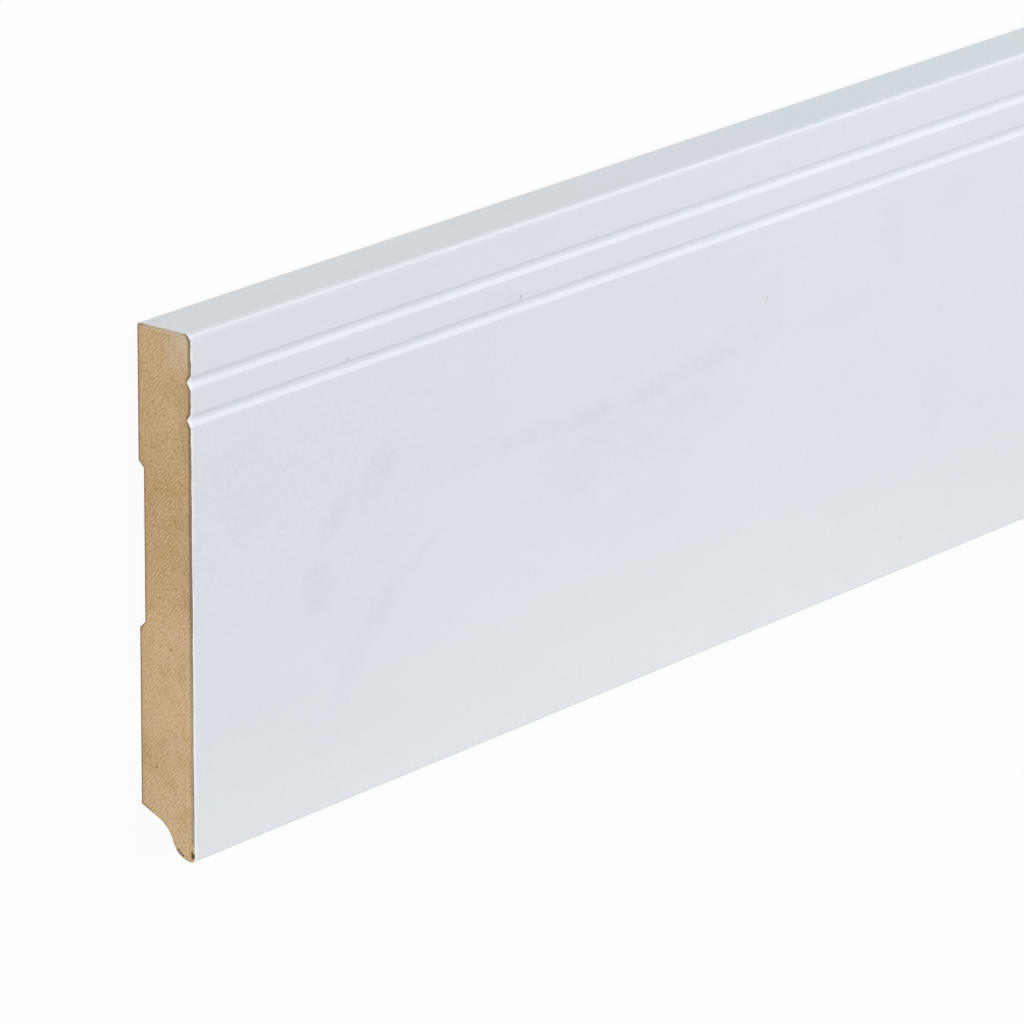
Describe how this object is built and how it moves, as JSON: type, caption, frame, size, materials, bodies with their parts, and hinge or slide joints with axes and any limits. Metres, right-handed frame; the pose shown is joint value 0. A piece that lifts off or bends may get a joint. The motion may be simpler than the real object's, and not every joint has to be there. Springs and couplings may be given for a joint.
{
  "type": "skirting board length",
  "caption": "Straight moulded skirting board: V-grooves under a rounded top edge, an undercut foot with a rounded nose, and a relief channel along the back; covers the wall and floor joint.",
  "frame": {"origin": "middle of the board's footprint, on the plane that its back lies on", "axes": "+X along the length, +Y towards the top edge of the board as it is fixed to a wall, +Z out of the moulded face"},
  "size_m": [2.4, 0.12, 0.015],
  "materials": {
    "white_coat": "satin",
    "bare_fibreboard": "matte"
  },
  "bodies": {
    "root": {"skirting_board": "white_coat"}
  },
  "joints": []
}
